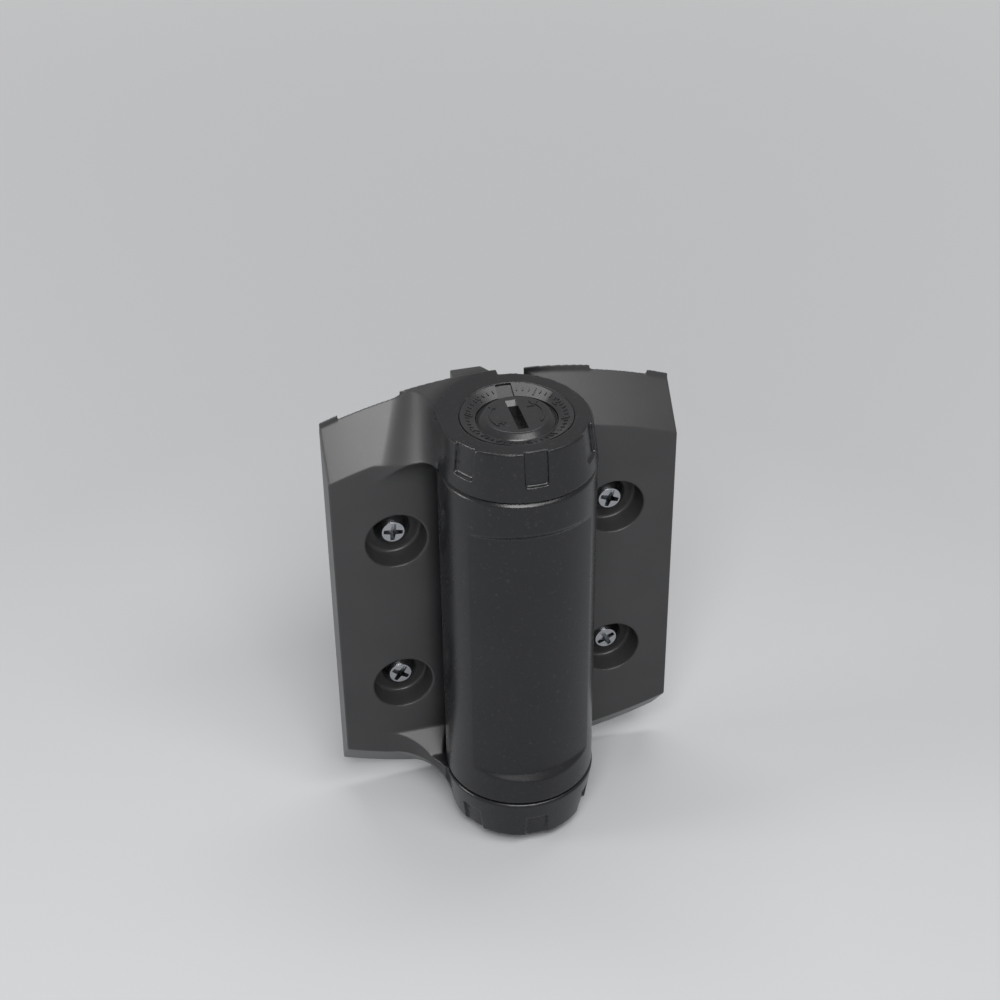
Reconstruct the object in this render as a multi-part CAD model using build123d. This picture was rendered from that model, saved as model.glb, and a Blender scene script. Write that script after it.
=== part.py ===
from build123d import *
import math
import os

os.makedirs("parts", exist_ok=True)

# A self-closing gate hinge, drawn round its own pivot: Z is the pivot axis, +X the gate side,
# -X the post side and +Y the way into the fence. The backs of both leaves lie on one plane.

# Leaves
PIVOT_TO_BACK = 21.5
LEAF_THICK = 10.0
LEAF_REACH = 47.0
POST_LEAF_INNER_X = -8.0
GATE_LEAF_INNER_X = 6.0
ARCH_R = 135.0
TOP_CROWN_Z = 67.0
LEAF_CROWN_DROP = 1.2
BEVEL_DROP = 12.0
LIP_RISE = 1.0
LIP_THICK = 0.9
POST_LIP = (-LEAF_REACH, -42.0)
GATE_LIPS = ((7.0, 25.3), (41.0, LEAF_REACH))
RIB_THICK = 4.5
RIB_OUTER_X = -11.2
RIB_INNER_X = -3.0
RIB_ROOT_X = -0.3
RIB_TOP_DROP = 1.0
RIB_FOOT_RISE = 2.0
CORE_DEPTH = 6.0
CORE_WIDTH = 15.0
CORE_HEIGHT = 11.0
CORE_RIB = 3.0

# Knuckles
BARREL_R = 20.5
BARREL_EDGE = 1.2
UPPER_COLLAR_HIGH = 13.55
LOWER_COLLAR_HIGH = 13.9
LOWER_TIP_SHORT = 5.0
JOINT_GAP = 0.3
UPPER_COLLAR_OVER = 0.2
LOWER_COLLAR_OVER = 0.3
COLLAR_DRAFT = 0.133
LOWER_TIP_ROUND = 1.0
LEAF_TO_BARREL = 0.8
LEAF_TO_COLLAR = 1.7
NOTCH_ANGLES = (-57.0, 0.0, 56.0)
NOTCH_WIDTH = 6.0
NOTCH_DEPTH = 0.9
UPPER_LEDGE = 4.15
LOWER_LEDGE = 5.9

# Blends between the post leaf and its collars
BLEND_SINK = 0.1
PLAN_BLEND_R = 17.0
COVE_R = 11.5
SHELF_RISE = 2.6
TOP_BLEND_R = 9.4
NOSE_BLEND_R = 20.4
TOP_BLEND_AT = -3.0
NOSE_BLEND_AT = 27.0

# Sunk panel in the front of the barrel
PANEL_DEPTH = 1.8
PANEL_HALF_ANGLE = 52.0
PANEL_FROM_LOWER_JOINT = 10.4
PANEL_FROM_UPPER_JOINT = 12.15
PANEL_END_SLOPE = 2.3

# Fixing screws
SCREW_X = 30.0
SCREW_Z = 24.5
SCREW_RECESS_R = 8.2
SCREW_RECESS_DEPTH = 7.0
SCREW_RECESS_ROUND = 0.8
SCREW_NECK_R = 2.3
SCREW_THREAD_R = 2.75
SCREW_HOLE_GAP = 0.2
SCREW_LENGTH = 22.0
SCREW_POINT = 5.0
SCREW_HEAD_R = 4.9
SCREW_HEAD_TOP_R = 3.05
SCREW_HEAD_RIM = 0.5
SCREW_HEAD_HIGH = 2.7
CROSS_LONG = 4.4
CROSS_WIDE = 0.9
CROSS_DEEP = 1.7
POST_SCREW_TURNS = (8.0, 35.0)
GATE_SCREW_TURNS = (20.0, 62.0)

# Pivot: a hollow sleeve above and a plug below, each in a bush in the barrel
FIT = 0.05
RUN = 0.1
SLEEVE_R = 12.4
SLEEVE_BORE_R = 10.6
SLEEVE_REACH = 10.45
SEAT_WEB = 1.6
FLANGE_R = 13.8
FLANGE_THICK = 1.6
KEY_WIDTH = 4.0
KEY_REACH = 1.2
BUSH_WALL = 3.0
BUSH_FLANGE_R = 17.3
BUSH_FLANGE_THICK = 1.3
BUSH_LENGTH = 9.4
WASHER_R = 17.1
WASHER_THICK = 1.2
PLUG_REACH = 9.7
PLUG_WEB = 6.9
PLUG_FLANGE_THICK = 2.0
PIN_R = 4.0
PIN_TO_HOLDER = 4.1
PIN_CHAMFER = 0.5
PIN_HEAD_R = 6.5
PIN_HEAD_THICK = 2.0
CLIP_R = 6.2
CLIP_THICK = 1.0
CLIP_MOUTH = 5.0
CLIP_GROOVE = 0.5
CLIP_ROOM = 1.0
CAP_THICK = 1.8
CAP_SKIRT = 1.2
SPRING_BORE_R = 11.2

# Dial that sets the closing force
RING_R = 14.35
RING_BORE_R = 10.45
RING_DEEP = 3.2
DISH_RIM_DROP = 0.2
DISH_FALL = 1.5
CHANNEL_WIDTH = 4.2
CHANNEL_DEPTH = 0.8
TEETH = 16
TOOTH_HIGH = 1.2
TOOTH_WIDE = 1.3
TOOTH_IN_R = 11.2
TOOTH_OUT_R = 13.3
TOOTH_GAP = 0.3
DIAL_TOP_DROP = 0.5
DIAL_R = 10.1
DIAL_ROUND = 1.5
DIAL_SLOT_LONG = 13.5
DIAL_SLOT_WIDE = 2.7
DIAL_SLOT_DEEP = 2.2
DIAL_FLANGE_R = 13.5
DIAL_FLANGE_THICK = 1.5
DIAL_TRAVEL = 2.5
STEM_R = 7.5
SEAL_UP = 0.75
SEAL_WIRE_R = 0.6
SEAL_SQUEEZE = 0.05
CARRIER_R = 10.5
CARRIER_HIGH = 12.5
CARRIER_LUG = 1.0
CARRIER_LUGS = 3
LUG_WIDTH = 3.0
SQUARE = 8.0
SQUARE_HIGH = 5.0
HOLDER_R = 10.3
HOLDER_FLANGE = 3.0
HOLDER_SPIGOT_R = 6.8
HOLDER_HIGH = 10.3
HOLDER_SCREW_R = 2.0
HOLDER_SCREW_UP = 14.0
HOLDER_SCREW_HEAD_R = 3.8
HOLDER_SCREW_HEAD = 2.4
HOLDER_SCREW_ROUND = 1.0

# Torsion spring and its lower holder
WIRE_R = 1.2
COIL_R = 8.4
COIL_TURNS = 20
COIL_TO_HOLDER = 2.8
TANG_BEND = 3.0
TANG_SHORT = 0.5
TANG_SEAT = 3.5
FOOT_R = 13.4
FOOT_HIGH = 6.25
FOOT_SPIGOT = 9.0
FOOT_BORE_R = 4.6
FOOT_KEY = 1.5
TANG_SLOT = 2.7
SLOT_WALL = 1.0

# Values that follow from the ones above
MARGIN = 5.0
OVERLAP = 1.0
LEAF_CROWN_Z = TOP_CROWN_Z - LEAF_CROWN_DROP
UPPER_JOINT_Z = TOP_CROWN_Z - UPPER_COLLAR_HIGH
LOWER_TIP_Z = LOWER_TIP_SHORT - TOP_CROWN_Z
LOWER_JOINT_Z = LOWER_TIP_Z + LOWER_COLLAR_HIGH
UPPER_COLLAR_R = BARREL_R + UPPER_COLLAR_OVER
LOWER_COLLAR_R = BARREL_R + LOWER_COLLAR_OVER
RIB_TOP_Z = TOP_CROWN_Z - RIB_TOP_DROP
RIB_BOTTOM_Z = LOWER_TIP_Z + RIB_FOOT_RISE
PANEL_LOW_Z = LOWER_JOINT_Z + PANEL_FROM_LOWER_JOINT
PANEL_HIGH_Z = UPPER_JOINT_Z - PANEL_FROM_UPPER_JOINT
SLEEVE_BOTTOM_Z = UPPER_JOINT_Z - SLEEVE_REACH
PLUG_TOP_Z = LOWER_JOINT_Z + PLUG_REACH
PLUG_SEAT_Z = LOWER_JOINT_Z - PLUG_WEB
RING_SEAT_Z = TOP_CROWN_Z - RING_DEEP
DISH_RIM_Z = TOP_CROWN_Z - DISH_RIM_DROP
DISH_INNER_Z = DISH_RIM_Z - DISH_FALL
DIAL_TOP_Z = TOP_CROWN_Z - DIAL_TOP_DROP
SEAL_Z = RING_SEAT_Z + SEAL_UP
BACK_Y = PIVOT_TO_BACK
FRONT_Y = PIVOT_TO_BACK - LEAF_THICK
COLLAR_SEAT_Z = UPPER_JOINT_Z + JOINT_GAP / 2
BARREL_TOP_Z = UPPER_JOINT_Z - JOINT_GAP / 2
BARREL_BOTTOM_Z = LOWER_JOINT_Z + JOINT_GAP / 2
LOWER_SEAT_Z = LOWER_JOINT_Z - JOINT_GAP / 2
BARREL_CLEAR_R = BARREL_R + LEAF_TO_BARREL
COLLAR_CLEAR_R = LOWER_COLLAR_R + LEAF_TO_COLLAR
SLEEVE_HOLE_R = SLEEVE_R + RUN
SLEEVE_SEAT_Z = COLLAR_SEAT_Z + SEAT_WEB
FLANGE_HOLE_R = FLANGE_R + RUN
BUSH_BORE_R = SLEEVE_R + FIT
BUSH_R = BUSH_BORE_R + BUSH_WALL
DIAL_TEETH_Z = RING_SEAT_Z - TOOTH_HIGH - TOOTH_GAP
DIAL_FLANGE_Z = DIAL_TEETH_Z - TOOTH_HIGH
CARRIER_TOP_Z = DIAL_FLANGE_Z - DIAL_FLANGE_THICK - RUN
CARRIER_BOTTOM_Z = CARRIER_TOP_Z - CARRIER_HIGH
HOLDER_TOP_Z = CARRIER_BOTTOM_Z - RUN
HOLDER_BOTTOM_Z = HOLDER_TOP_Z - HOLDER_HIGH
PIN_TOP_Z = HOLDER_BOTTOM_Z - DIAL_TRAVEL - PIN_TO_HOLDER
SCREW_SEAT_Y = FRONT_Y + SCREW_RECESS_DEPTH
FOOT_BOTTOM_Z = BARREL_BOTTOM_Z + WASHER_THICK + RUN + BUSH_LENGTH
FOOT_TOP_Z = FOOT_BOTTOM_Z + FOOT_HIGH
COIL_HIGH_Z = HOLDER_TOP_Z - HOLDER_FLANGE - TANG_BEND - COIL_TO_HOLDER
COIL_LOW_Z = FOOT_TOP_Z + TANG_BEND + COIL_TO_HOLDER
COIL_RISE = (COIL_HIGH_Z - COIL_LOW_Z) / COIL_TURNS
COIL_SLOPE = math.atan2(COIL_RISE, 2 * math.pi * COIL_R)
TANG_OUT = TANG_BEND * (1 - math.sin(COIL_SLOPE))
TO_ROW = Pos(SCREW_X, -PIVOT_TO_BACK, 0)


def disc(radius, low, high):
    """an upright cylinder on the pivot between two heights"""
    return Pos(0, 0, low) * Cylinder(radius, high - low, align=(Align.CENTER, Align.CENTER, Align.MIN))


def ring(outer, inner, low, high):
    """an upright ring on the pivot between two heights"""
    return disc(outer, low, high) - disc(inner, low - MARGIN, high + MARGIN)


def cone(low_radius, high_radius, low, high):
    """an upright frustum on the pivot between two heights"""
    upright = Cone(low_radius, high_radius, high - low, align=(Align.CENTER, Align.CENTER, Align.MIN))
    return Pos(0, 0, low) * upright


def block(x, y, z):
    """a box from three pairs of limits"""
    size = (x[1] - x[0], y[1] - y[0], z[1] - z[0])
    return Pos((x[0] + x[1]) / 2, (y[0] + y[1]) / 2, (z[0] + z[1]) / 2) * Box(*size)


def arch_z(x, crown):
    """the height of an arched edge at x"""
    return crown - ARCH_R + math.sqrt(ARCH_R**2 - x**2)


def leaf_outline(x0, x1, y, crown):
    """the closed outline of a leaf, arched above and below, on the plane at y"""
    corners = [(x0, y, arch_z(x0, crown)), (x1, y, arch_z(x1, crown))]
    middle = ((x0 + x1) / 2, y, arch_z((x0 + x1) / 2, crown))
    low = [(x, y, -z) for x, y, z in corners]
    low_middle = (middle[0], y, -middle[2])
    edges = [
        ThreePointArc(corners[0], middle, corners[1]),
        Line(corners[1], low[1]),
        ThreePointArc(low[1], low_middle, low[0]),
        Line(low[0], corners[0]),
    ]
    return Wire(edges)


def leaf_plate(x0, x1, lips):
    """a leaf's plate, whose ends slope from the back to the front, with the raised lips of its back edge"""
    back = leaf_outline(x0, x1, BACK_Y, LEAF_CROWN_Z)
    front = leaf_outline(x0, x1, FRONT_Y, LEAF_CROWN_Z - BEVEL_DROP)
    plate = Solid.make_loft([back, front], ruled=True)
    upper_half = block((-2 * LEAF_REACH, 2 * LEAF_REACH), (0, 2 * BACK_Y), (0, 2 * LEAF_CROWN_Z))
    for lip in lips:
        outline = Face(leaf_outline(*lip, BACK_Y - LIP_THICK, LEAF_CROWN_Z + LIP_RISE))
        plate = plate + (Solid.extrude(outline, Vector(0, LIP_THICK, 0)) & upper_half)
    return plate


def screw_recesses(side):
    """the round recess, the shank hole and the cored back between the two screws of one leaf"""
    cut = []
    for up in (1, -1):
        place = Pos(side * SCREW_X, 0, up * SCREW_Z)
        deep = (Align.CENTER, Align.CENTER, Align.MAX)
        well = Rot(-90, 0, 0) * Cylinder(SCREW_RECESS_R, BACK_Y, align=deep)
        well = fillet(well.faces().sort_by(Axis.Y)[-1].edges(), SCREW_RECESS_ROUND)
        hole = Rot(-90, 0, 0) * Cylinder(SCREW_THREAD_R + SCREW_HOLE_GAP, 3 * BACK_Y)
        cut.append(place * Pos(0, SCREW_SEAT_Y, 0) * well)
        cut.append(place * hole)
        near = up * CORE_RIB / 2
        far = near + up * CORE_HEIGHT
        wide = (side * SCREW_X - CORE_WIDTH / 2, side * SCREW_X + CORE_WIDTH / 2)
        cut.append(block(wide, (BACK_Y - CORE_DEPTH, BACK_Y + MARGIN), sorted((near, far))))
    return cut


def wall_x(height, radius, joint):
    """how far out the post side of a collar stands at a height"""
    return -(radius - COLLAR_DRAFT * (height - joint))


def blend_section(along, blend, radius, joint):
    """a slice square to the leaf's bevel: the bevel below, the collar's wall beside it and their blend"""
    length = math.hypot(LEAF_THICK, BEVEL_DROP)
    down = Vector(0, -LEAF_THICK, -BEVEL_DROP) / length
    lift = LEAF_THICK / length
    centre = Vector(0, BACK_Y, LEAF_CROWN_Z - BLEND_SINK) + down * along
    floor = -2 * COLLAR_CLEAR_R
    roof = -floor

    def bevel(x):
        return (x, arch_z(x, 0) * lift)

    def wall(h):
        return (wall_x(centre.Z + h * lift, radius, joint), h)

    outer = -LEAF_REACH + MARGIN / 2
    crest = ThreePointArc(bevel(outer), bevel(outer / 2), bevel(0))
    under = Polyline((outer, floor), bevel(outer)) + crest + Polyline(bevel(0), (0, floor), (outer, floor))
    beside = Polyline(wall(floor), wall(roof), (0, roof), (0, floor), wall(floor))
    section = make_face(under) + make_face(beside)
    corner = section.vertices().filter_by(lambda v: v.Y < roof / 2 and v.Y > floor / 2)
    corner = corner.sort_by_distance((wall(0)[0], bevel(wall(0)[0])[1]))[0]
    section = fillet(corner, blend)
    plane = Plane(origin=centre, x_dir=(1, 0, 0), z_dir=down)
    return plane * section.face()


def arm(radius, joint, tip, shelf):
    """the arm from the post leaf to a collar, drawn for the upper end"""
    slices = [
        blend_section(TOP_BLEND_AT, TOP_BLEND_R, radius, joint),
        blend_section(NOSE_BLEND_AT, NOSE_BLEND_R, radius, joint),
    ]
    body = Solid.make_loft([s.outer_wire() for s in slices], ruled=True)
    # seen from above, the front of the leaf sweeps forward into the side of the collar
    front = FRONT_Y + BLEND_SINK
    plan_y = front - PLAN_BLEND_R
    plan_x = -math.sqrt((radius + PLAN_BLEND_R) ** 2 - plan_y**2)
    end = (plan_x + math.sqrt(PLAN_BLEND_R**2 - plan_y**2), 0)
    turn = math.atan2(-plan_y, end[0] - plan_x)
    half = (math.pi / 2 + turn) / 2
    middle = (plan_x + PLAN_BLEND_R * math.cos(half), plan_y + PLAN_BLEND_R * math.sin(half))
    outer = -LEAF_REACH + MARGIN
    sweep_in = ThreePointArc((plan_x, front), middle, end)
    plan = Polyline((outer, front), (plan_x, front)) + sweep_in
    plan = plan + Polyline(end, (0, 0), (0, BACK_Y), (outer, BACK_Y), (outer, front))
    body = body & extrude(make_face(plan), 2 * ARCH_R)
    # seen from the side, the front of the leaf rises in a cove, or a shelf, to the collar's seat
    if shelf:
        profile = Polyline((FRONT_Y, 0), (FRONT_Y, joint - shelf), (0, joint))
    else:
        low = (FRONT_Y, joint - COVE_R)
        high = (FRONT_Y - COVE_R, joint)
        middle = (high[0] + COVE_R * math.sqrt(0.5), low[1] + COVE_R * math.sqrt(0.5))
        profile = Polyline((FRONT_Y, 0), low) + ThreePointArc(low, middle, high)
    top = 2 * joint
    corners = [(-MARGIN, joint), (-MARGIN, top), (BACK_Y, top), (BACK_Y, 0), (FRONT_Y, 0)]
    profile = profile + Polyline(profile @ 1, *corners)
    side = Plane.YZ * make_face(profile)
    return body & extrude(side, LEAF_REACH, both=True) & disc(2 * LEAF_REACH, 0, tip)


def notches(radius, joint, ledge, tip):
    """the three grip notches in the side of a collar"""
    sunk = cone(radius - NOTCH_DEPTH, radius - NOTCH_DEPTH - COLLAR_DRAFT * (tip - joint), joint, tip)
    cut = []
    wide = (-NOTCH_WIDTH / 2, NOTCH_WIDTH / 2)
    for angle in NOTCH_ANGLES:
        slab = block(wide, (-radius - MARGIN, -radius / 2), (joint + ledge, tip))
        cut.append(Rot(0, 0, angle) * slab - sunk)
    return cut


def collar(radius, joint, tip, ledge, shelf, edge):
    """a collar with its arm, drawn for the upper end"""
    body = cone(radius, radius - COLLAR_DRAFT * (tip - joint), joint, tip)
    if edge:
        body = fillet(body.faces().sort_by(Axis.Z)[-1].edges(), edge)
    for cut in notches(radius, joint, ledge, tip):
        body = body - cut
    return body + arm(radius, joint, tip, shelf)


def under_top():
    """everything below the arched top of the post leaf"""
    return Pos(0, 0, TOP_CROWN_Z - ARCH_R) * Rot(90, 0, 0) * Cylinder(ARCH_R, 4 * LEAF_REACH)


def key(reach, low, high, gap):
    """the key on the rim of a pivot flange, towards the post"""
    x = (-FLANGE_R - reach, -FLANGE_R + OVERLAP)
    return block(x, (-KEY_WIDTH / 2 - gap, KEY_WIDTH / 2 + gap), (low, high))


def post_leaf():
    body = leaf_plate(-LEAF_REACH, POST_LEAF_INNER_X, [POST_LIP])
    body = body - disc(BARREL_CLEAR_R, -2 * LEAF_REACH, 2 * LEAF_REACH)
    upper = collar(UPPER_COLLAR_R, COLLAR_SEAT_Z, TOP_CROWN_Z, UPPER_LEDGE, 0, 0) & under_top()
    lower = collar(LOWER_COLLAR_R, -LOWER_SEAT_Z, -LOWER_TIP_Z, LOWER_LEDGE, SHELF_RISE, LOWER_TIP_ROUND)
    body = body + upper + mirror(lower, about=Plane.XY)
    body = body - disc(BARREL_CLEAR_R, LOWER_SEAT_Z, COLLAR_SEAT_Z)
    root = BACK_Y - LIP_THICK
    outline = [(RIB_OUTER_X, root), (RIB_OUTER_X, BACK_Y + RIB_THICK), (RIB_INNER_X, BACK_Y + RIB_THICK),
               (RIB_ROOT_X, BACK_Y), (RIB_ROOT_X, root), (RIB_OUTER_X, root)]
    rib = Pos(0, 0, RIB_BOTTOM_Z) * extrude(make_face(Polyline(*outline)), RIB_TOP_Z - RIB_BOTTOM_Z)
    body = body + (rib - disc(BARREL_CLEAR_R, LOWER_SEAT_Z, COLLAR_SEAT_Z))
    body = body - disc(SLEEVE_HOLE_R, LOWER_SEAT_Z - LEAF_REACH, COLLAR_SEAT_Z + LEAF_REACH)
    body = body - disc(FLANGE_HOLE_R, SLEEVE_SEAT_Z, 2 * TOP_CROWN_Z)
    body = body - disc(RING_R + FIT, RING_SEAT_Z, 2 * TOP_CROWN_Z)
    body = body - disc(FLANGE_HOLE_R, 2 * LOWER_TIP_Z, PLUG_SEAT_Z)
    body = body - key(KEY_REACH + FIT, SLEEVE_SEAT_Z, RING_SEAT_Z, FIT)
    body = body - key(KEY_REACH + FIT, LOWER_TIP_Z - MARGIN, PLUG_SEAT_Z, FIT)
    for cut in screw_recesses(-1):
        body = body - cut
    return body


def panel_cut():
    """the shallow panel round the front of the barrel, deepest at the front and fading to both sides"""
    floor = BARREL_R - PANEL_DEPTH
    edge = BARREL_R * math.cos(math.radians(PANEL_HALF_ANGLE))
    behind = (BARREL_R**2 - floor**2) / (2 * (floor - edge))
    radius = floor + behind
    reach = 2 * PANEL_DEPTH
    slope = PANEL_END_SLOPE / PANEL_DEPTH
    outline = [(radius, PANEL_LOW_Z), (radius, PANEL_HIGH_Z), (radius + reach, PANEL_HIGH_Z + slope * reach),
               (radius + reach, PANEL_LOW_Z - slope * reach), (radius, PANEL_LOW_Z)]
    face = Plane.XZ * make_face(Polyline(*outline))
    return Pos(0, behind, 0) * revolve(face, Axis.Z)


def gate_leaf():
    barrel = disc(BARREL_R, BARREL_BOTTOM_Z, BARREL_TOP_Z)
    barrel = chamfer(barrel.edges().filter_by(GeomType.CIRCLE), BARREL_EDGE) - panel_cut()
    plate = leaf_plate(GATE_LEAF_INNER_X, LEAF_REACH, GATE_LIPS)
    plate = plate - disc(COLLAR_CLEAR_R, BARREL_TOP_Z, 2 * TOP_CROWN_Z)
    plate = plate - disc(COLLAR_CLEAR_R, -2 * TOP_CROWN_Z, BARREL_BOTTOM_Z)
    body = plate + barrel - disc(SPRING_BORE_R, -LEAF_REACH * 2, LEAF_REACH * 2)
    for sign, end in ((1, BARREL_TOP_Z), (-1, -BARREL_BOTTOM_Z)):
        deep = end - WASHER_THICK - RUN - BUSH_FLANGE_THICK
        hole = disc(BUSH_FLANGE_R + FIT, deep, end + MARGIN)
        hole = hole + disc(BUSH_R + FIT, deep + BUSH_FLANGE_THICK - BUSH_LENGTH, end)
        body = body - (hole if sign > 0 else mirror(hole, about=Plane.XY))
    body = body - disc(FOOT_R + FIT, FOOT_BOTTOM_Z - MARGIN, FOOT_TOP_Z)
    wide = (-KEY_WIDTH / 2 - FIT, KEY_WIDTH / 2 + FIT)
    deep = (FOOT_R - OVERLAP, FOOT_R + FOOT_KEY + FIT)
    body = body - block(deep, wide, (FOOT_BOTTOM_Z - MARGIN, FOOT_TOP_Z))
    for cut in screw_recesses(1):
        body = body - cut
    return body


def screw(turn):
    """a pan-head screw along +Y with its seat at the origin: head in front, pointed shank behind"""
    to_back = BACK_Y - SCREW_SEAT_Y
    points = [(0, -SCREW_HEAD_HIGH), (SCREW_HEAD_TOP_R, -SCREW_HEAD_HIGH), (SCREW_HEAD_R, -SCREW_HEAD_RIM),
              (SCREW_HEAD_R, 0), (SCREW_NECK_R, 0), (SCREW_NECK_R, to_back), (SCREW_THREAD_R, to_back),
              (SCREW_THREAD_R, to_back + SCREW_LENGTH), (0, to_back + SCREW_LENGTH + SCREW_POINT),
              (0, -SCREW_HEAD_HIGH)]
    body = revolve(make_face(Polyline(*points)), Axis.Y)
    deep = (-SCREW_HEAD_HIGH - OVERLAP, CROSS_DEEP - SCREW_HEAD_HIGH)
    slot = block((-CROSS_LONG / 2, CROSS_LONG / 2), deep, (-CROSS_WIDE / 2, CROSS_WIDE / 2))
    for quarter in (0, 90):
        body = body - Rot(0, turn + quarter, 0) * slot
    return body


def screws(side, turns):
    """the upper and the lower screw of one leaf"""
    upper = Pos(side * SCREW_X, SCREW_SEAT_Y, SCREW_Z) * screw(turns[0])
    lower = Pos(side * SCREW_X, SCREW_SEAT_Y, -SCREW_Z) * screw(turns[1])
    return Compound(children=[upper, lower])


def upper_pivot_sleeve():
    body = ring(SLEEVE_R, SLEEVE_BORE_R, SLEEVE_BOTTOM_Z, SLEEVE_SEAT_Z)
    body = body + ring(FLANGE_R, SLEEVE_BORE_R, SLEEVE_SEAT_Z, SLEEVE_SEAT_Z + FLANGE_THICK)
    body = body + key(KEY_REACH, SLEEVE_SEAT_Z, SLEEVE_SEAT_Z + FLANGE_THICK, 0)
    reach = CARRIER_R + CARRIER_LUG + RUN
    for n in range(CARRIER_LUGS):
        groove = block((0, reach), (-LUG_WIDTH / 2 - RUN, LUG_WIDTH / 2 + RUN),
                       (SLEEVE_BOTTOM_Z - MARGIN, SLEEVE_SEAT_Z + MARGIN))
        body = body - Rot(0, 0, 90 + n * 360 / CARRIER_LUGS) * groove
    return body


def lower_pivot_plug():
    body = ring(SLEEVE_R, PIN_R + FIT, PLUG_SEAT_Z, PLUG_TOP_Z)
    body = body + ring(FLANGE_R, PIN_R + FIT, PLUG_SEAT_Z - PLUG_FLANGE_THICK, PLUG_SEAT_Z)
    return body + key(KEY_REACH, PLUG_SEAT_Z - PLUG_FLANGE_THICK, PLUG_SEAT_Z, 0)


def pivot_pin():
    head_z = PLUG_SEAT_Z - PLUG_FLANGE_THICK
    body = disc(PIN_HEAD_R, head_z - PIN_HEAD_THICK, head_z) + disc(PIN_R, head_z - OVERLAP, PIN_TOP_Z)
    body = chamfer(body.faces().sort_by(Axis.Z)[-1].edges(), PIN_CHAMFER)
    return body - ring(PIN_R + OVERLAP, PIN_R - CLIP_GROOVE, PLUG_TOP_Z, PLUG_TOP_Z + CLIP_THICK)


def pin_clip():
    """the open ring that sits in the pin's groove on top of the plug"""
    body = ring(CLIP_R, PIN_R - CLIP_GROOVE, PLUG_TOP_Z, PLUG_TOP_Z + CLIP_THICK)
    upright = (PLUG_TOP_Z - MARGIN, PLUG_TOP_Z + MARGIN)
    return body - block((-CLIP_MOUTH / 2, CLIP_MOUTH / 2), (0, 2 * CLIP_R), upright)


def bottom_cap():
    top = PLUG_SEAT_Z - PLUG_FLANGE_THICK
    body = disc(FLANGE_R, LOWER_TIP_Z, LOWER_TIP_Z + CAP_THICK)
    return body + ring(FLANGE_R, FLANGE_R - CAP_SKIRT, LOWER_TIP_Z, top)


def bush(end):
    """a flanged bush for the upper end of the barrel"""
    top = end - WASHER_THICK - RUN
    body = ring(BUSH_R, BUSH_BORE_R, top - BUSH_LENGTH, top)
    return body + ring(BUSH_FLANGE_R, BUSH_BORE_R, top - BUSH_FLANGE_THICK, top)


def washer(seat):
    return ring(WASHER_R, SLEEVE_HOLE_R + RUN, seat - WASHER_THICK, seat)


def tooth_row(low, high, shift):
    teeth = []
    for n in range(TEETH):
        tooth = block((TOOTH_IN_R, TOOTH_OUT_R), (-TOOTH_WIDE / 2, TOOTH_WIDE / 2), (low, high))
        teeth.append(Rot(0, 0, (n + shift) * 360 / TEETH) * tooth)
    return teeth


def dial_ring():
    """the fixed ring round the dial: a dished face above, teeth below and one channel towards the back"""
    points = [(RING_BORE_R, RING_SEAT_Z), (RING_R, RING_SEAT_Z), (RING_R, DISH_RIM_Z),
              (RING_BORE_R, DISH_INNER_Z), (RING_BORE_R, RING_SEAT_Z)]
    body = revolve(Plane.XZ * make_face(Polyline(*points)), Axis.Z)
    channel = block((-CHANNEL_WIDTH / 2, CHANNEL_WIDTH / 2), (0, 2 * RING_R),
                    (DISH_INNER_Z - CHANNEL_DEPTH / 2, DISH_RIM_Z + MARGIN))
    body = (body & under_top()) - channel
    for tooth in tooth_row(RING_SEAT_Z - TOOTH_HIGH, RING_SEAT_Z + FIT, 0):
        body = body + tooth
    return body


def tension_dial():
    """the dial that a wide screwdriver pushes down and turns, with its teeth, stem and square end"""
    body = disc(DIAL_R, DIAL_FLANGE_Z, DIAL_TOP_Z)
    body = fillet(body.faces().sort_by(Axis.Z)[-1].edges(), DIAL_ROUND)
    body = body + disc(DIAL_FLANGE_R, DIAL_FLANGE_Z - DIAL_FLANGE_THICK, DIAL_FLANGE_Z)
    body = body + disc(STEM_R, HOLDER_TOP_Z, DIAL_FLANGE_Z)
    square_end = HOLDER_TOP_Z - SQUARE_HIGH
    wide = (-SQUARE / 2, SQUARE / 2)
    body = body + block(wide, wide, (square_end, DIAL_FLANGE_Z))
    for tooth in tooth_row(DIAL_FLANGE_Z - FIT, DIAL_TEETH_Z, 0.5):
        body = body + tooth
    slot = extrude(SlotOverall(DIAL_SLOT_LONG, DIAL_SLOT_WIDE, rotation=90), 2 * DIAL_SLOT_DEEP)
    body = body - Pos(0, 0, DIAL_TOP_Z - DIAL_SLOT_DEEP) * slot
    floor = seal_r() - SEAL_WIRE_R
    body = body - ring(DIAL_R + OVERLAP, floor, SEAL_Z - SEAL_WIRE_R - FIT, SEAL_Z + SEAL_WIRE_R + FIT)
    return body - disc(HOLDER_SCREW_R + FIT, square_end - OVERLAP, square_end + HOLDER_SCREW_UP + FIT)


def seal_r():
    """the middle radius of the seal, which all but fills the gap to the ring's bore"""
    return RING_BORE_R - SEAL_SQUEEZE - SEAL_WIRE_R


def dial_seal():
    return Pos(0, 0, SEAL_Z) * Torus(seal_r(), SEAL_WIRE_R)


def dial_bush():
    """the carrier that slides in the sleeve without turning and holds the dial between its ends"""
    body = ring(CARRIER_R, STEM_R + FIT, CARRIER_BOTTOM_Z, CARRIER_TOP_Z)
    for n in range(CARRIER_LUGS):
        lug = block((STEM_R + OVERLAP, CARRIER_R + CARRIER_LUG), (-LUG_WIDTH / 2, LUG_WIDTH / 2),
                    (CARRIER_BOTTOM_Z, CARRIER_TOP_Z))
        body = body + Rot(0, 0, 90 + n * 360 / CARRIER_LUGS) * lug
    return body


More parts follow.
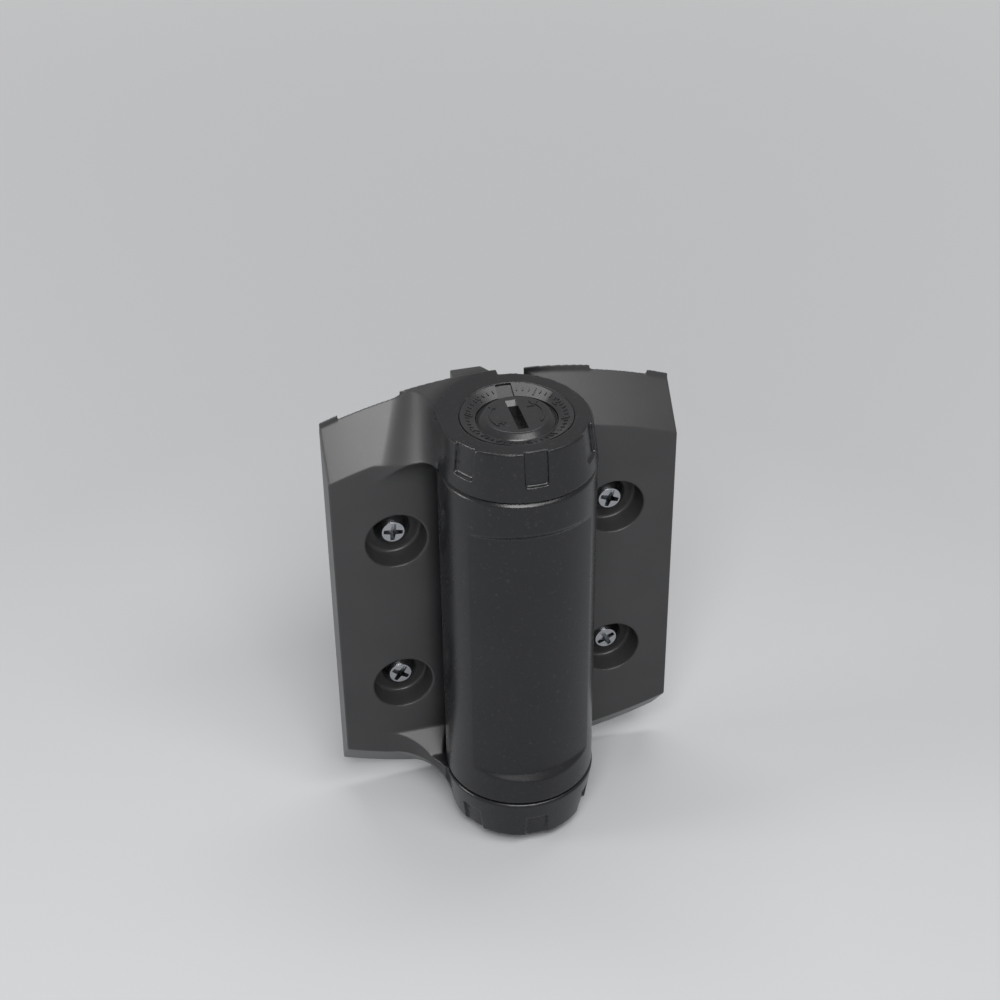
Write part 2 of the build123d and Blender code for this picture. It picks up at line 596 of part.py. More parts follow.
def tang_slot(side, low, high):
    """the open slot that takes an end of the spring, on the +X side"""
    wide = (side * TANG_OUT - TANG_SLOT / 2, side * TANG_OUT + TANG_SLOT / 2)
    return block((COIL_R - TANG_SLOT / 2, 3 * COIL_R), wide, (low, high))


def spring_top_holder():
    body = disc(HOLDER_R, HOLDER_TOP_Z - HOLDER_FLANGE, HOLDER_TOP_Z)
    body = body + disc(HOLDER_SPIGOT_R, HOLDER_BOTTOM_Z, HOLDER_TOP_Z)
    half = SQUARE / 2 + FIT
    floor = HOLDER_TOP_Z - SQUARE_HIGH - FIT
    body = body - block((-half, half), (-half, half), (floor, HOLDER_TOP_Z + OVERLAP))
    body = body - disc(HOLDER_SCREW_R + FIT, HOLDER_BOTTOM_Z - OVERLAP, HOLDER_TOP_Z)
    seat = HOLDER_BOTTOM_Z + HOLDER_SCREW_HEAD
    body = body - disc(HOLDER_SCREW_HEAD_R + RUN, HOLDER_BOTTOM_Z - OVERLAP, seat)
    return body - tang_slot(1, HOLDER_TOP_Z - HOLDER_FLANGE - OVERLAP, HOLDER_TOP_Z + OVERLAP)


def holder_screw():
    seat = HOLDER_BOTTOM_Z + HOLDER_SCREW_HEAD
    tip = HOLDER_TOP_Z - SQUARE_HIGH + HOLDER_SCREW_UP
    head = disc(HOLDER_SCREW_HEAD_R, HOLDER_BOTTOM_Z, seat)
    head = fillet(head.faces().sort_by(Axis.Z)[0].edges(), HOLDER_SCREW_ROUND)
    body = head + disc(HOLDER_SCREW_R, seat - OVERLAP, tip)
    deep = (HOLDER_BOTTOM_Z - OVERLAP, HOLDER_BOTTOM_Z + CROSS_DEEP)
    slot = block((-CROSS_LONG / 2, CROSS_LONG / 2), (-CROSS_WIDE / 2, CROSS_WIDE / 2), deep)
    return body - slot - Rot(0, 0, 90) * slot


def spring_bottom_holder():
    """the foot that is keyed into the barrel and holds the lower end of the spring"""
    body = disc(FOOT_R, FOOT_BOTTOM_Z, FOOT_TOP_Z)
    body = body + disc(HOLDER_SPIGOT_R, FOOT_BOTTOM_Z, FOOT_TOP_Z + FOOT_SPIGOT)
    body = body + block((0, FOOT_R + FOOT_KEY), (-KEY_WIDTH / 2, KEY_WIDTH / 2), (FOOT_BOTTOM_Z, FOOT_TOP_Z))
    body = body - disc(FOOT_BORE_R, FOOT_BOTTOM_Z - OVERLAP, FOOT_TOP_Z + 2 * FOOT_SPIGOT)
    body = body - disc(CLIP_R + CLIP_ROOM, FOOT_BOTTOM_Z - OVERLAP, PLUG_TOP_Z + CLIP_THICK + CLIP_ROOM)
    slot_low = FOOT_TOP_Z - TANG_SEAT - RUN
    slot_high = FOOT_TOP_Z + OVERLAP
    return body - (tang_slot(-1, slot_low, slot_high) & disc(FOOT_R - SLOT_WALL, slot_low, slot_high))


def biarc(start, start_way, end, end_way):
    """two arcs that leave start along start_way and reach end along end_way"""
    gap = end - start
    spread = 2 * (1 - start_way.dot(end_way))
    along = gap.dot(start_way + end_way)
    reach = (math.sqrt(along**2 + spread * gap.dot(gap)) - along) / spread
    near = start + start_way * reach
    far = end - end_way * reach
    meet = (near + far) / 2
    return [TangentArc(start, meet, tangent=start_way), TangentArc(meet, end, tangent=far - near)]


def coil_point(turns):
    """the middle of the wire after some turns from the lower end, and the way it runs there"""
    angle = 2 * math.pi * turns
    place = Vector(COIL_R * math.cos(angle), COIL_R * math.sin(angle), COIL_LOW_Z + COIL_RISE * turns)
    level = math.cos(COIL_SLOPE)
    way = Vector(-level * math.sin(angle), level * math.cos(angle), math.sin(COIL_SLOPE))
    return place, way


def torsion_spring():
    """one unbroken wire: the coil and its two upright ends, which stand in the holders"""
    step = Vector(0, TANG_OUT, TANG_BEND * math.cos(COIL_SLOPE))
    low = coil_point(0)[0]
    high, high_way = coil_point(COIL_TURNS)
    low_corner = low - step
    high_corner = high + step
    low_end = Vector(low_corner.X, low_corner.Y, FOOT_TOP_Z - TANG_SEAT)
    high_end = Vector(high_corner.X, high_corner.Y, HOLDER_TOP_Z - TANG_SHORT)
    edges = [Line(low_end, low_corner), TangentArc(low_corner, low, tangent=(0, 0, 1))]
    for n in range(2 * COIL_TURNS):
        edges += biarc(*coil_point(n / 2), *coil_point((n + 1) / 2))
    edges += [TangentArc(high, high_corner, tangent=high_way), Line(high_corner, high_end)]
    print("spring: gap between turns", round(COIL_RISE * math.cos(COIL_SLOPE) - 2 * WIRE_R, 2), "mm")
    path = Wire(edges)
    return sweep(Plane(origin=low_end, z_dir=(0, 0, 1)) * Circle(WIRE_R), path)


NODES = {
    "post_leaf": post_leaf,
    "dial_ring": dial_ring,
    "upper_pivot_sleeve": upper_pivot_sleeve,
    "lower_pivot_plug": lower_pivot_plug,
    "pivot_pin": pivot_pin,
    "pin_clip": pin_clip,
    "bottom_cap": bottom_cap,
    "upper_washer": lambda: washer(COLLAR_SEAT_Z),
    "lower_washer": lambda: mirror(washer(-LOWER_SEAT_Z), about=Plane.XY),
    "post_screws": lambda: screws(-1, POST_SCREW_TURNS),
    "gate_leaf": gate_leaf,
    "upper_bush": lambda: bush(BARREL_TOP_Z),
    "lower_bush": lambda: mirror(bush(-BARREL_BOTTOM_Z), about=Plane.XY),
    "spring_bottom_holder": spring_bottom_holder,
    "torsion_spring": torsion_spring,
    "gate_screws": lambda: screws(1, GATE_SCREW_TURNS),
    "dial_bush": dial_bush,
    "tension_dial": tension_dial,
    "spring_top_holder": spring_top_holder,
    "holder_screw": holder_screw,
    "dial_seal": dial_seal,
}

for name, build in NODES.items():
    export_step(TO_ROW * build(), f"parts/{name}.step")
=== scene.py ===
import math

import bmesh
import bpy
from mathutils import Matrix, Vector


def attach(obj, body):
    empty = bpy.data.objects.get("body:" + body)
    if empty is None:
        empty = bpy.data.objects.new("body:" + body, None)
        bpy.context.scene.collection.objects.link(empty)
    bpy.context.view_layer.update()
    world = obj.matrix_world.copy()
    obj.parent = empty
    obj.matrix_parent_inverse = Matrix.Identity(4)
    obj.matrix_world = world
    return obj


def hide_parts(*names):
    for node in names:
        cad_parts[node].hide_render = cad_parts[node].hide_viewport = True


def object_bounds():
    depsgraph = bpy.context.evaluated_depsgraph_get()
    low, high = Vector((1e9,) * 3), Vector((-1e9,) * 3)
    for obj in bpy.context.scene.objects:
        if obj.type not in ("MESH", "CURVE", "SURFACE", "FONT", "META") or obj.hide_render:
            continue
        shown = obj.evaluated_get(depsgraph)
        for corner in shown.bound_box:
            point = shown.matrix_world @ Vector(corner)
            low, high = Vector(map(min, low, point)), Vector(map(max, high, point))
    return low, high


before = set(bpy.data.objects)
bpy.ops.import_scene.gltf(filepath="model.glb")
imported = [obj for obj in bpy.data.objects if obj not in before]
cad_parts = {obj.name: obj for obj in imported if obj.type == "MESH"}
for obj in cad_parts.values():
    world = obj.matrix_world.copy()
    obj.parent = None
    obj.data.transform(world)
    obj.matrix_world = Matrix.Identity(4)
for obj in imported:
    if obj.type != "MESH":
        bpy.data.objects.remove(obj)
cad_box = [list(corner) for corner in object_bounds()]

# Every piece is modelled in millimetres round the pivot, with Z up the pivot, and settles into the
# part's own place and metres when it is finished.
PIVOT = Vector((0.030, -0.0215, 0.0))
TO_ROW = Matrix.Translation(PIVOT) @ Matrix.Scale(0.001, 4)

# The leaves, in millimetres
BACK_Y = 21.5
FRONT_Y = 11.5
LEAF_REACH = 47.0
POST_INNER_X = -8.0
GATE_INNER_X = 6.0
ARCH_R = 135.0
LEAF_CROWN = 65.8
BEVEL_DROP = 12.0
LIP_RISE = 1.0
LIP_DEPTH = 0.45
LIP_FOOT = 30.0
POST_LIPS = [(-LEAF_REACH, -42.0)]
GATE_LIPS = [(7.0, 25.3), (41.0, LEAF_REACH)]
BROW_X = (-25.6, -12.0)
BROW_FOOT = 58.0
BROW_DROP = 0.02
RIB_ENDS = (-60.0, 66.0)
RIB_BACK_Y = 26.0

# The screws' places and recesses
SCREW_X = 30.0
SCREW_Z = 24.5
SCREW_SEAT_Y = 18.5
WELL_R = 7.4
WELL_ROUND = 0.8
WELL_MOUTH_R = 8.25
SHANK_HOLE_R = 2.95
CORE_HALF = 7.5
CORE_DEPTH = 6.0
CORE_GAP = 1.5
CORE_HEIGHT = 11.0

# The collars and their arms
TOP_CROWN = 67.0
UPPER_R = 20.7
LOWER_R = 20.8
DRAFT = 0.133
UPPER_SEAT = 53.6
LOWER_SEAT = -48.25
LOWER_TIP = -62.0
UPPER_LEDGE = 4.15
LOWER_LEDGE = 5.9
LOWER_SHELF = 6.0
LOWER_EDGE = 1.0
NOTCH_ANGLES = (-57.0, 0.0, 56.0)
NOTCH_HALF = 3.0
NOTCH_SINK = 0.9
ARM_OUTER_X = -42.0
ARM_SWEEP = 17.0
COVE_R = 11.5
SHELF_ROUND = 1.5
SHELF_ROUND_INSET = 0.62
# how far down the slope the blend's first and last section lie, and their rounds
BLEND_FIRST = (-3.0, 9.4)
BLEND_LAST = (27.0, 20.4)
BLEND_LIFT = 0.02

# The barrel and its sunk panel
BARREL_R = 20.5
BARREL_CLEAR = 21.3
COLLAR_CLEAR = 22.5
BARREL_TOP = 53.3
BARREL_LOW = -47.95
BARREL_EDGE = 1.2
BARREL_FOOT = 0.4
PANEL_SINK = 1.8
PANEL_HALF_ANGLE = 52.0
PANEL_LOW = -37.7
PANEL_HIGH = 41.3
PANEL_END_OUT = 3.6
PANEL_END_ALONG = 4.6

# The bores that the inner parts sit in
SLEEVE_HOLE = 12.5
FLANGE_HOLE = 13.9
FLANGE_SEAT = 55.2
PLUG_SEAT = -55.0
RING_HOLE = 14.4
KEY_X = (-15.05, -12.8)
KEY_HALF = 2.05
SPRING_BORE = 11.2
BUSH_BORE = 15.5
BUSH_DEPTH = 8.1
WASHER_BORE = 17.35
WASHER_DEPTH = 2.6
HOLDER_BORE = 13.45
HOLDER_ENDS = (-42.0, -31.0)
HOLDER_KEY_X = (12.4, 14.95)

# The ring and the dial
RING_R = 14.35
RING_BORE = 10.45
RING_SEAT = 63.8
DISH_INNER = 65.3
DISH_FALL = 1.5
CHANNEL_HALF = 2.1
CHANNEL_FALL = 1.3
RELIEF = 0.24
FIGURE_STEP = 36.0
FIGURE_TALL = 2.05
FIGURE_AT = 12.05
TICK_AT = 12.45
TEETH = 16
TOOTH_X = (11.2, 13.3)
TOOTH_HALF = 0.65
DIAL_R = 10.1
DIAL_TOP = 66.5
# the dial's round rim: how far in and how far down
DIAL_RIM = ((0, 1.7), (0.08, 1.4), (0.3, 1.1), (1.3, 0.25), (1.65, 0.06), (2.0, 0))
SLOT_DEPTH = 4.2
SLOT_HALF = 1.35
SLOT_REACH = 6.75
RAMP_FROM = 5.6
RAMP_DEPTH = 1.15
ARROW_INNER = 6.5
ARROW_OUTER = 7.1
SIGN_PLACE = (4.4, 2.9, 0)

# a size that reaches past the whole part, and a gap too small to see that keeps faces apart
FAR = 90.0
HAIR = 0.012


# Handling pieces

def pick(piece):
    """makes one piece the only selected one"""
    bpy.ops.object.select_all(action="DESELECT")
    bpy.context.view_layer.objects.active = piece
    piece.select_set(True)


def open_up(piece):
    """goes into edit mode on a piece with all of it selected"""
    pick(piece)
    bpy.ops.object.mode_set(mode="EDIT")
    bpy.ops.mesh.select_all(action="SELECT")


def close_up():
    """merges double points, turns all faces outwards and leaves edit mode"""
    bpy.ops.mesh.select_all(action="SELECT")
    bpy.ops.mesh.remove_doubles(threshold=0.0005)
    bpy.ops.mesh.normals_make_consistent(inside=False)
    bpy.ops.object.mode_set(mode="OBJECT")


def applied(piece, kind, **settings):
    """puts one modifier on a piece and applies it"""
    pick(piece)
    step = piece.modifiers.new(kind.lower(), kind)
    for setting, value in settings.items():
        setattr(step, setting, value)
    bpy.ops.object.modifier_apply(modifier=step.name)
    return piece


def place(piece, matrix):
    """moves the mesh itself, so that the object stays at the origin"""
    piece.data.transform(matrix)
    if matrix.determinant() < 0:
        piece.data.flip_normals()
    return piece


def turn_z(degrees):
    """a turn about the pivot"""
    return Matrix.Rotation(math.radians(degrees), 4, "Z")


def facing_out(x, z, y):
    """from a shape that stands on Z to the same shape standing out of the leaf's front, towards -Y"""
    return Matrix.Translation((x, y, z)) @ Matrix.Rotation(math.radians(90), 4, "X")


def combine(piece, tool, how):
    """joins, cuts or trims a piece with another, which is used up"""
    applied(piece, "BOOLEAN", operation=how, solver="EXACT", object=tool)
    bpy.data.objects.remove(tool)
    open_up(piece)
    bpy.ops.mesh.remove_doubles(threshold=0.003)
    bpy.ops.mesh.dissolve_degenerate(threshold=0.003)
    bpy.ops.object.mode_set(mode="OBJECT")
    return piece


def add(piece, tool):
    """joins another shape to a piece"""
    return combine(piece, tool, "UNION")


def cut(piece, tool):
    """takes another shape out of a piece"""
    return combine(piece, tool, "DIFFERENCE")


def trim(piece, tool):
    """keeps only what lies inside another shape"""
    return combine(piece, tool, "INTERSECT")


def together(pieces, name):
    """several pieces as one object"""
    bpy.ops.object.select_all(action="DESELECT")
    for piece in pieces:
        piece.select_set(True)
    bpy.context.view_layer.objects.active = pieces[0]
    if len(pieces) > 1:
        bpy.ops.object.join()
    pieces[0].name = name
    return pieces[0]


def twin(piece, matrix):
    """a copy with its own mesh, put elsewhere"""
    other = piece.copy()
    other.data = piece.data.copy()
    bpy.context.collection.objects.link(other)
    return place(other, matrix)


def row_round(piece, count, first):
    """copies one shape round the pivot, as one object"""
    row = [twin(piece, turn_z(first + n * 360 / count)) for n in range(1, count)]
    return together([place(piece, turn_z(first))] + row, piece.name)


# Making solids

def turned(name, profile, steps=180):
    """a solid turned about Z from a profile of (radius, height) points"""
    bpy.ops.mesh.primitive_plane_add(size=1)
    piece = bpy.context.object
    piece.name = name
    open_up(piece)
    bpy.ops.mesh.merge(type="CENTER")
    here = Vector((profile[0][0], 0, profile[0][1]))
    bpy.ops.transform.translate(value=here)
    for radius, height in profile[1:]:
        there = Vector((radius, 0, height))
        bpy.ops.mesh.extrude_region_move(TRANSFORM_OT_translate={"value": there - here})
        here = there
    bpy.ops.mesh.select_all(action="SELECT")
    bpy.ops.mesh.spin(steps=steps, angle=2 * math.pi, center=(0, 0, 0), axis=(0, 0, 1))
    close_up()
    return piece


def disc(radius, low, high, steps=180):
    """a round bar up the pivot between two heights"""
    return turned("disc", [(0, low), (radius, low), (radius, high), (0, high)], steps)


def slab(name, outline, axis, low, high):
    """a closed outline of (a, b) points, pushed out along an axis between two places"""
    bpy.ops.mesh.primitive_circle_add(vertices=len(outline), radius=1, fill_type="NGON")
    piece = bpy.context.object
    piece.name = name
    push = {"X": Vector((1, 0, 0)), "Y": Vector((0, 1, 0)), "Z": Vector((0, 0, 1))}[axis]
    for vertex, (a, b) in zip(piece.data.vertices, outline):
        vertex.co = {"X": (low, a, b), "Y": (a, low, b), "Z": (a, b, low)}[axis]
    open_up(piece)
    bpy.ops.mesh.extrude_region_move(TRANSFORM_OT_translate={"value": push * (high - low)})
    close_up()
    return piece


def block(x, y, z, name="block"):
    """a box from three pairs of limits"""
    corners = [(x[0], y[0]), (x[1], y[0]), (x[1], y[1]), (x[0], y[1])]
    return slab(name, corners, "Z", z[0], z[1])


def lofted(name, sections):
    """a solid through closed sections with as many points each"""
    around = len(sections[0])
    bpy.ops.mesh.primitive_grid_add(x_subdivisions=around, y_subdivisions=len(sections) - 1, size=1)
    piece = bpy.context.object
    piece.name = name
    for row, section in enumerate(sections):
        for column in range(around + 1):
            piece.data.vertices[row * (around + 1) + column].co = section[column % around]
    open_up(piece)
    bpy.ops.mesh.remove_doubles(threshold=0.0005)
    bpy.ops.mesh.fill_holes(sides=0)
    close_up()
    return piece


def arc(centre, radius, start, end, steps):
    """points on an arc between two angles in degrees"""
    angles = [math.radians(start + (end - start) * n / steps) for n in range(steps + 1)]
    return [(centre[0] + radius * math.cos(a), centre[1] + radius * math.sin(a)) for a in angles]


def circle_through(a, b, c):
    """the centre and radius of the circle through three points"""
    d = 2 * (a[0] * (b[1] - c[1]) + b[0] * (c[1] - a[1]) + c[0] * (a[1] - b[1]))
    aa, bb, cc = (p[0] ** 2 + p[1] ** 2 for p in (a, b, c))
    x = (aa * (b[1] - c[1]) + bb * (c[1] - a[1]) + cc * (a[1] - b[1])) / d
    y = (aa * (c[0] - b[0]) + bb * (a[0] - c[0]) + cc * (b[0] - a[0])) / d
    return x, y, math.hypot(a[0] - x, a[1] - y)


def eased(piece, width):
    """small rounds on the sharp edges"""
    return applied(piece, "BEVEL", width=width, segments=2, limit_method="ANGLE",
                   angle_limit=math.radians(50))


def softened(piece, grain=0.3, passes=4, keep=190000):
    """takes the hard edges off, as a mould does, and thins the mesh where it is flat"""
    applied(piece, "REMESH", mode="VOXEL", voxel_size=grain)
    applied(piece, "SMOOTH", factor=0.5, iterations=passes)
    bpy.ops.object.shade_smooth()
    triangles = 2 * len(piece.data.polygons)
    if triangles > keep:
        applied(piece, "DECIMATE", ratio=keep / triangles)
    return piece


def smooth_faces(piece, angle=35):
    """smooth shading in which the wide faces stay flat beside their small rounds"""
    pick(piece)
    bpy.ops.object.shade_smooth_by_angle(angle=math.radians(angle))
    return applied(piece, "WEIGHTED_NORMAL", keep_sharp=True, weight=90)


# The leaves

def arch(x, crown):
    """the height of an arched edge at x"""
    return crown - ARCH_R + math.sqrt(ARCH_R**2 - x**2)


def arched_bar(name, x, y, back_crown, front_crown, low=None):
    """a bar from side to side whose top, and bottom where no low is given, follow the arch"""
    bpy.ops.mesh.primitive_cube_add(size=1)
    piece = bpy.context.object
    piece.name = name
    open_up(piece)
    bpy.ops.mesh.select_mode(type="EDGE")
    bpy.ops.mesh.select_all(action="DESELECT")
    mesh = bmesh.from_edit_mesh(piece.data)
    for edge in mesh.edges:
        along = edge.verts[0].co - edge.verts[1].co
        edge.select = abs(along.x) > 0.5
    bmesh.update_edit_mesh(piece.data)
    bpy.ops.mesh.subdivide(number_cuts=63)
    bpy.ops.mesh.select_mode(type="VERT")
    mesh = bmesh.from_edit_mesh(piece.data)
    for vertex in mesh.verts:
        share = vertex.co.x + 0.5
        behind = vertex.co.y > 0
        above = vertex.co.z > 0
        vertex.co.x = x[0] + (x[1] - x[0]) * share
        vertex.co.y = y[1] if behind else y[0]
        top = arch(vertex.co.x, back_crown if behind else front_crown)
        vertex.co.z = top if above else (-top if low is None else low)
    bmesh.update_edit_mesh(piece.data)
    close_up()
    return piece


def trim_to_arch(piece, crown, reach, step):
    """takes off what stands above the arched top"""
    top = [(x, arch(x, crown)) for x in range(-reach, reach + 1, step)]
    return trim(piece, slab("top", top + [(reach, 0), (-reach, 0)], "Y", -FAR, FAR))


def leaf_plate(x0, x1, lips):
    """a leaf's plate with its slopes, and the thin lips that stand up along its back"""
    plate = arched_bar("plate", (x0, x1), (FRONT_Y, BACK_Y), LEAF_CROWN, LEAF_CROWN - BEVEL_DROP)
    crown = LEAF_CROWN + LIP_RISE
    for lip in lips:
        thin = (BACK_Y - LIP_DEPTH, BACK_Y - HAIR)
        add(plate, arched_bar("lip", lip, thin, crown, crown, LIP_FOOT))
    return plate


def screw_places(side):
    """where the upper and the lower screw of one leaf stand; the side is -1 or 1"""
    return [(side * SCREW_X, SCREW_Z), (side * SCREW_X, -SCREW_Z)]


def fixing_cuts(leaf, side):
    """the round recess with its softened floor, the shank hole and the cored back, at both screws"""
    past = 12.0
    floor = arc((WELL_R, WELL_ROUND), WELL_ROUND, -90, 0, 6)
    floor = [(0, 0), (WELL_R, 0)] + floor[1:]
    for x, z in screw_places(side):
        well = turned("well", floor + [(WELL_MOUTH_R, past), (0, past)], 96)
        cut(leaf, place(well, facing_out(x, z, SCREW_SEAT_Y)))
        cut(leaf, place(disc(SHANK_HOLE_R, -past, past, 64), facing_out(x, z, SCREW_SEAT_Y)))
        near = math.copysign(CORE_GAP, z)
        far = near + math.copysign(CORE_HEIGHT, z)
        cut(leaf, block((x - CORE_HALF, x + CORE_HALF), (BACK_Y - CORE_DEPTH, BACK_Y + 5),
                        sorted((near, far))))


def key_cut(leaf, low, high):
    """the slot for an inner part's key"""
    cut(leaf, block(KEY_X, (-KEY_HALF, KEY_HALF), (low, high)))


def wall_x(height, radius, joint):
    """where the drafted wall of a collar stands at its left, at a height"""
    return -(radius - DRAFT * (height - joint))


def blend_section(along, blend, radius, joint):
    """a slice square to the bevel: the bevel, the collar's wall beside it and the round between them"""
    length = math.hypot(BACK_Y - FRONT_Y, BEVEL_DROP)
    down = Vector((0, FRONT_Y - BACK_Y, -BEVEL_DROP)) / length
    up = Vector((0, down.z, -down.y))
    centre = Vector((0, BACK_Y, LEAF_CROWN + BLEND_LIFT)) + down * along
    outer = -44.5
    depth = 45.0
    # the bevel's arch in this slice, as a circle through three of its points
    ends = [(x, arch(x, 0) * up.z) for x in (outer, outer / 2, 0.0)]
    crest_x, crest_y, crest_r = circle_through(*ends)
    # the collar's wall in this slice is a straight line
    foot = wall_x(centre.z, radius, joint)
    slope = DRAFT * up.z
    lean = math.hypot(1, slope)
    # the round touches both
    low, high = -depth, depth
    for _ in range(60):
        h = (low + high) / 2
        x = foot + slope * h - blend * lean
        if math.hypot(x - crest_x, h - crest_y) > crest_r + blend:
            high = h
        else:
            low = h
    middle = (foot + slope * h - blend * lean, h)
    start = math.degrees(math.atan2(crest_y - middle[1], crest_x - middle[0]))
    end = math.degrees(math.atan2(-slope, 1))
    begin = math.degrees(math.atan2(ends[0][1] - crest_y, outer - crest_x))
    stop = math.degrees(math.atan2(middle[1] - crest_y, middle[0] - crest_x))
    line = arc((crest_x, crest_y), crest_r, begin, stop, 20)
    line += arc(middle, blend, start, end, 28)[1:]
    line += [(foot + slope * depth, depth), (HAIR, depth), (HAIR, -depth), (outer, -depth)]
    return [centre + Vector((1, 0, 0)) * x + up * h for x, h in line]


def arm(radius, joint, tip, shelf):
    """the arm that sweeps from the post leaf into a collar"""
    first = blend_section(*BLEND_FIRST, radius, joint)
    last = blend_section(*BLEND_LAST, radius, joint)
    steps = 24
    slices = [[a.lerp(b, n / steps) for a, b in zip(first, last)] for n in range(steps + 1)]
    piece = lofted("arm", slices)
    # seen from above it sweeps forward into the side of the collar
    face = FRONT_Y + 0.1
    y = face - ARM_SWEEP
    x = -math.sqrt((radius + ARM_SWEEP) ** 2 - y**2)
    stop = math.degrees(math.atan2(-y, math.sqrt(ARM_SWEEP**2 - y**2)))
    plan = [(ARM_OUTER_X, face)] + arc((x, y), ARM_SWEEP, 90, stop, 24)
    plan += [(1, 0), (1, BACK_Y - HAIR), (ARM_OUTER_X, BACK_Y - HAIR)]
    trim(piece, slab("plan", plan, "Z", 0, FAR))
    # seen from the side it comes from the leaf to the collar's seat in a cove, or on a slope
    seat = joint + HAIR
    front = FRONT_Y + HAIR
    if shelf:
        turn = (front - shelf - SHELF_ROUND_INSET, seat - SHELF_ROUND)
        rise = [(front, seat - shelf)] + arc(turn, SHELF_ROUND, 45, 90, 6) + [(0, seat)]
    else:
        rise = arc((front - COVE_R, seat - COVE_R), COVE_R, 0, 90, 24)
    side = [(front, 0)] + rise + [(-5, seat), (-5, FAR), (BACK_Y + 5, FAR), (BACK_Y + 5, 0)]
    trim(piece, slab("side", side, "X", -FAR, FAR))
    trim(piece, disc(FAR, 0, tip - HAIR, 48))
    return piece


def collar(radius, joint, tip, ledge, shelf, edge):
    """a collar with its three grip notches and its arm, drawn for the upper end"""
    top = radius - DRAFT * (tip - joint)
    rim = [(top, tip)]
    foot = [(radius, joint)]
    if edge:
        rim = [(top - edge + a, tip - edge + b) for a, b in arc((0, 0), edge, 0, 90, 6)]
        foot = [(radius - edge / 2, joint), (radius, joint + edge / 2)]
    piece = turned("collar", [(0, joint)] + foot + rim + [(0, tip)], 240)
    grips = []
    for angle in NOTCH_ANGLES:
        grip = block((-NOTCH_HALF, NOTCH_HALF), (-radius - 5, -radius / 2), (joint + ledge, tip + 1))
        grips.append(place(grip, turn_z(angle)))
    grips = together(grips, "grips")
    inner, inner_top = radius - NOTCH_SINK, top - NOTCH_SINK
    sunk = [(0, joint), (inner, joint), (inner_top, tip), (inner_top, tip + 2), (0, tip + 2)]
    cut(grips, turned("sunk", sunk, 240))
    cut(piece, grips)
    return add(piece, arm(radius - HAIR, joint, tip, shelf))


def model_post_leaf():
    """plate, both collars with their arms, the rib behind and the bores, as one moulding"""
    leaf = leaf_plate(-LEAF_REACH, POST_INNER_X, POST_LIPS)
    cut(leaf, disc(BARREL_CLEAR, -FAR, FAR))
    upper = trim_to_arch(collar(UPPER_R, UPPER_SEAT, TOP_CROWN, UPPER_LEDGE, 0, 0), TOP_CROWN, 60, 2)
    lower = collar(LOWER_R, -LOWER_SEAT, -LOWER_TIP, LOWER_LEDGE, LOWER_SHELF, LOWER_EDGE)
    place(lower, Matrix.Scale(-1, 4, (0, 0, 1)))
    add(leaf, upper)
    # a thin brow along the top edge, beside the collar
    thin = (BACK_Y - LIP_DEPTH, BACK_Y - 2 * HAIR)
    brow = TOP_CROWN - BROW_DROP
    add(leaf, arched_bar("brow", BROW_X, thin, brow, brow, BROW_FOOT))
    add(leaf, lower)
    cut(leaf, disc(BARREL_CLEAR, LOWER_SEAT - 2 * HAIR, UPPER_SEAT + 2 * HAIR))
    # the rib behind the plate
    root = BACK_Y - 0.9
    outline = [(-11.2, root), (-11.2, RIB_BACK_Y), (-3.0, RIB_BACK_Y), (-0.3, BACK_Y), (-0.3, root)]
    rib = slab("rib", outline, "Z", *RIB_ENDS)
    cut(rib, disc(BARREL_CLEAR + HAIR, LOWER_SEAT - 3 * HAIR, UPPER_SEAT + 3 * HAIR))
    add(leaf, rib)
    cut(leaf, disc(SLEEVE_HOLE, -FAR, FAR, 96))
    cut(leaf, disc(FLANGE_HOLE, FLANGE_SEAT, FAR, 96))
    cut(leaf, disc(RING_HOLE, RING_SEAT, FAR, 160))
    cut(leaf, disc(FLANGE_HOLE, -FAR, PLUG_SEAT, 96))
    key_cut(leaf, FLANGE_SEAT, RING_SEAT)
    key_cut(leaf, -FAR, PLUG_SEAT)
    fixing_cuts(leaf, -1)
    leaf.name = "post_leaf_moulding"
    return leaf


